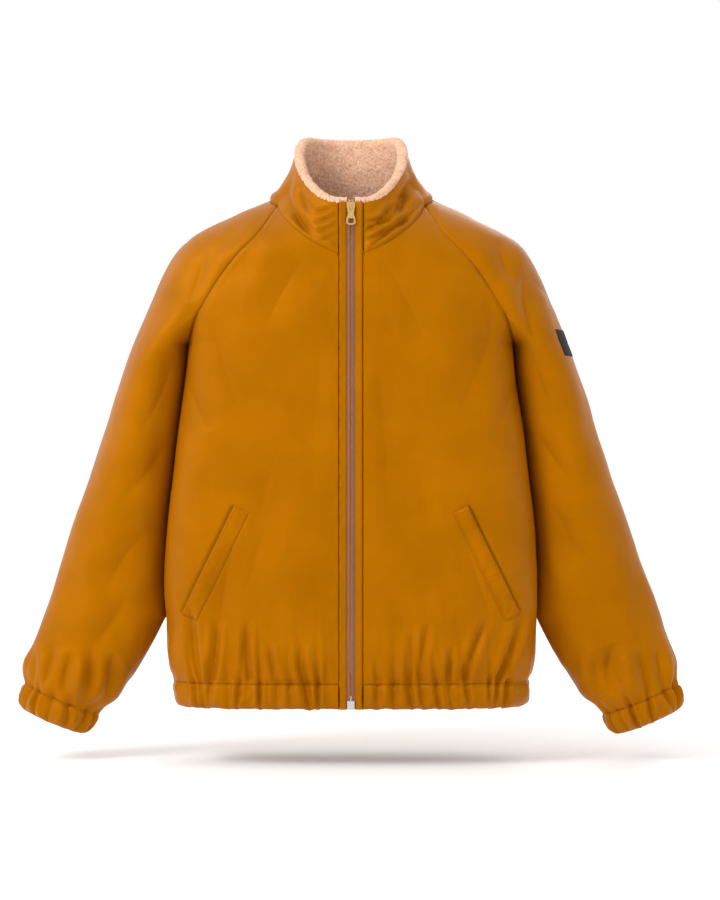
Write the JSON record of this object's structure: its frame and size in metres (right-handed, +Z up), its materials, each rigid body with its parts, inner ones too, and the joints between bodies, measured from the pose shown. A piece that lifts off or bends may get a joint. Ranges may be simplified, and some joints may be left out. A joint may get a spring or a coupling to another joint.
{
  "type": "zip-up jacket",
  "caption": "Raglan zip-up bomber jacket with stand collar, fleece lining, slanted welt pockets, gathered hem band and cuffs, and a sliding zip with a pull tab.",
  "frame": {"origin": "middle of the hanger loop inside the back of the neck", "axes": "+Z up, -Y out of the jacket's front, +X towards the wearer's left"},
  "size_m": [0.9428, 0.2107, 0.838],
  "materials": {
    "shell_cloth": "satin",
    "fleece": "matte",
    "zip_tape": "matte",
    "zip_coil": "satin",
    "zip_gold": "satin",
    "zip_silver": "satin",
    "label": "matte",
    "elastic": "matte",
    "pocketing": "matte"
  },
  "bodies": {
    "jacket": {"front_panel_left": "shell_cloth", "front_panel_right": "shell_cloth", "back_panel": "shell_cloth", "sleeve_front_left": "shell_cloth", "sleeve_front_right": "shell_cloth", "sleeve_back_left": "shell_cloth", "sleeve_back_right": "shell_cloth", "collar_shell": "shell_cloth", "hem_band": "shell_cloth", "cuff_left": "shell_cloth", "cuff_right": "shell_cloth", "placket_left": "shell_cloth", "placket_right": "shell_cloth", "pocket_welt_left": "shell_cloth", "pocket_welt_right": "shell_cloth", "front_lining_left": "fleece", "front_lining_right": "fleece", "back_lining": "fleece", "collar_lining": "fleece", "sleeve_lining_left": "fleece", "sleeve_lining_right": "fleece", "zip_tape_left": "zip_tape", "zip_tape_right": "zip_tape", "hanger_loop": "zip_tape", "zip_coil_left": "zip_coil", "zip_coil_right": "zip_coil", "top_stop_left": "zip_gold", "top_stop_right": "zip_gold", "retainer_box": "zip_silver", "insertion_pin": "zip_silver", "sleeve_label": "label", "neck_label": "label", "hem_elastic": "elastic", "cuff_elastic_left": "elastic", "cuff_elastic_right": "elastic", "pocket_bag_left": "pocketing", "pocket_bag_right": "pocketing"},
    "slider": {"slider_body": "zip_gold"},
    "pull": {"pull_tab": "zip_gold"}
  },
  "joints": [
    {"name": "zip_slide", "type": "slide", "parent": "jacket", "child": "slider", "axis": [0, 0, -1], "range_m": [0, 0.665]},
    {"name": "pull_swing", "type": "hinge", "parent": "slider", "child": "pull", "pos_m": [0, -0.14194, -0.0095], "axis": [-1, 0, 0], "range_deg": [0, 150]}
  ]
}
